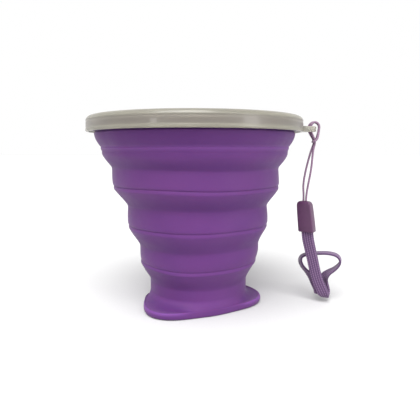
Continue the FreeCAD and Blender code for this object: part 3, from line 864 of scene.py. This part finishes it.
def make_cord():
    """Round braided cord with a real relief of crossing strands."""
    line = smooth_line(CORD_ROUTE)
    line = evenly(line, lengths_along(line), CORD_STEP * MM)
    ways = tangents(line)
    along = lengths_along(line)
    sides = 16
    side = ways[0].orthogonal().normalized()
    frames = []
    for way in ways:
        side = (side - way * side.dot(way)).normalized()
        frames.append((side, way.cross(side)))

    def section(i, k):
        turn = 2 * math.pi * k / sides
        slide = 2 * math.pi * along[i] / (CORD_BRAID * MM)
        weave = math.sin(slide + CORD_STRANDS * turn) * math.sin(slide - CORD_STRANDS * turn)
        radius = CORD_D / 2 * MM * (0.95 + 0.05 * weave)
        a, b = frames[i]
        return line[i] + (a * math.cos(turn) + b * math.sin(turn)) * radius

    piece = swept("lanyard_cord_braid", line, sides, section)
    piece.data.materials.append(cord_look())
    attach(piece, "lanyard")
    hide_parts("lanyard_cord")
    return piece, line


def drawn_in(z):
    """Share of its full width that the webbing has at a height: less where it folds near the floor."""
    below = min(max(1 - (z - FOLD_Z) / FOLD_SPAN, 0.0), 1.0)
    return FOLD_NARROW + (1 - FOLD_NARROW) * math.sqrt(1 - below ** 2)


def make_strap():
    """Flat webbing with rounded edges and lengthwise ribs on both faces."""
    middle = smooth_line([strap_point(*row[:3]) for row in STRAP_ROUTE])
    edge = smooth_line([strap_edge(row) for row in STRAP_ROUTE])
    along = lengths_along(middle)
    line = evenly(middle, along, STRAP_STEP * MM)
    beside = evenly(edge, along, STRAP_STEP * MM)
    ways = tangents(line)
    per_face = 28
    sides = 2 * per_face

    def section(i, k):
        way = ways[i]
        wide = beside[i] - line[i]
        wide = (wide - way * wide.dot(way)).normalized()
        flat = way.cross(wide)
        face = 1 if k < per_face else -1
        share = (k % per_face + 0.5) / per_face
        across = (1 - 2 * share) * face
        edge_drop = math.sqrt(max(1 - abs(across) ** 7, 0.0))
        rib = 0.5 - 0.5 * math.cos(2 * math.pi * STRAP_RIBS * share)
        thick = STRAP_THICK / 2 * (0.9 + 0.1 * rib) * edge_drop
        half = STRAP_WIDE / 2 * drawn_in(line[i].z / MM)
        return line[i] + (wide * across * half + flat * face * thick) * MM

    piece = swept("wrist_strap_webbing", line, sides, section)
    piece.data.materials.append(strap_look())
    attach(piece, "lanyard")
    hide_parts("wrist_strap")
    return piece, line


def box_ring(centre, wide, deep, corner, steps=6):
    """Rounded rectangle turned with the crimp, in millimetres."""
    to_right, away = across_and_back(CRIMP_TURN)
    ring = []
    for q, (sx, sy) in enumerate(((1, 1), (-1, 1), (-1, -1), (1, -1))):
        for i in range(steps + 1):
            angle = math.pi / 2 * (q + i / steps)
            across = sx * (wide / 2 - corner) + corner * math.cos(angle)
            back = sy * (deep / 2 - corner) + corner * math.sin(angle)
            ring.append(centre + to_right * across + away * back)
    return ring


def crimp_size(share):
    """Width and depth of the crimp this share of the way down."""
    for (s0, w0, d0), (s1, w1, d1) in zip(CRIMP_SECTIONS, CRIMP_SECTIONS[1:]):
        if share <= s1:
            t = (share - s0) / (s1 - s0)
            return w0 + (w1 - w0) * t, d0 + (d1 - d0) * t
    return CRIMP_SECTIONS[-1][1:]


def make_crimp():
    """Moulded block with rounded shoulders and an open foot that the strap enters."""
    rings = []
    way = CRIMP_FOOT - CRIMP_TOP
    for share, inset in CRIMP_RINGS:
        wide, deep = crimp_size(share)
        corner = max(0.15, 0.13 * deep - inset * 0.3)
        rings.append(box_ring(CRIMP_TOP + way * share, wide - 2 * inset, deep - 2 * inset, corner))
    sides = len(rings[0])
    points = [p * MM for ring in rings for p in ring]
    faces = [tuple(range(sides)), tuple(range((len(rings) - 1) * sides, len(rings) * sides))]
    for r in range(len(rings) - 1):
        for k in range(sides):
            n = (k + 1) % sides
            faces.append((r * sides + k, r * sides + n, (r + 1) * sides + n, (r + 1) * sides + k))
    piece = make_piece("lanyard_crimp_block", points, faces, sharp=50.0)
    piece.data.materials.append(crimp_look())
    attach(piece, "lanyard")
    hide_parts("lanyard_crimp")
    return piece


cord, cord_line = make_cord()
strap, strap_line = make_strap()
crimp = make_crimp()

# ---- floor and light -------------------------------------------------------------------
LIGHT_AIM, LIGHT_DISTANCE = (0.0, 0.0, 0.045), 0.9


def make_floor():
    """Pale floor."""
    half = 3.0          # metres
    corners = [(-half, -half, 0), (half, -half, 0), (half, half, 0), (-half, half, 0)]
    floor = make_piece("floor", corners, [(0, 1, 2, 3)])
    look = Look("floor", Roughness=0.9, Specular_IOR_Level=0.1)
    speckle = look.noise(look.place(), 900.0, 2.0)
    colour = look.blend(speckle, (0.52, 0.52, 0.52, 1.0), (0.55, 0.55, 0.55, 1.0))
    floor.data.materials.append(look.finish(colour))


def hang_light(name, data, azimuth, elevation, distance):
    """Places a light so that it faces the cup. Azimuth 0 is on the -Y side, and it grows towards +X."""
    light = bpy.data.objects.new(name, data)
    a, e = math.radians(azimuth), math.radians(elevation)
    away = Vector((math.sin(a) * math.cos(e), -math.cos(a) * math.cos(e), math.sin(e)))
    light.location = Vector(LIGHT_AIM) + away * distance
    light.rotation_euler = away.to_track_quat("Z", "Y").to_euler()
    bpy.context.scene.collection.objects.link(light)


def area_light(name, azimuth, elevation, wide, high, watts):
    """Rectangular light beside the cup."""
    data = bpy.data.lights.new(name, "AREA")
    data.shape = "RECTANGLE"
    data.size, data.size_y, data.energy = wide, high, watts
    hang_light(name, data, azimuth, elevation, LIGHT_DISTANCE)


def sun_light(name, azimuth, elevation, strength, spread):
    """Distant light that covers this many degrees of the sky."""
    data = bpy.data.lights.new(name, "SUN")
    data.energy, data.angle = strength, math.radians(spread)
    hang_light(name, data, azimuth, elevation, LIGHT_DISTANCE)


def make_world():
    """Even pale surroundings."""
    world = bpy.data.worlds.new("surroundings")
    world.use_nodes = True
    world.node_tree.nodes["Background"].inputs["Color"].default_value = (1.0, 1.0, 1.0, 1.0)
    world.node_tree.nodes["Background"].inputs["Strength"].default_value = 1.0
    bpy.context.scene.world = world
    bpy.context.scene.view_settings.view_transform = "Standard"


make_floor()
make_world()
sun_light("key", azimuth=-10.0, elevation=62.0, strength=3.9, spread=44.0)
area_light("window", azimuth=62.5, elevation=12.0, wide=0.26, high=0.5, watts=2.2)
area_light("lamp", azimuth=-32.5, elevation=6.0, wide=0.08, high=0.1, watts=0.3)
area_light("far_lamp", azimuth=47.0, elevation=38.0, wide=0.2, high=0.12, watts=0.8)
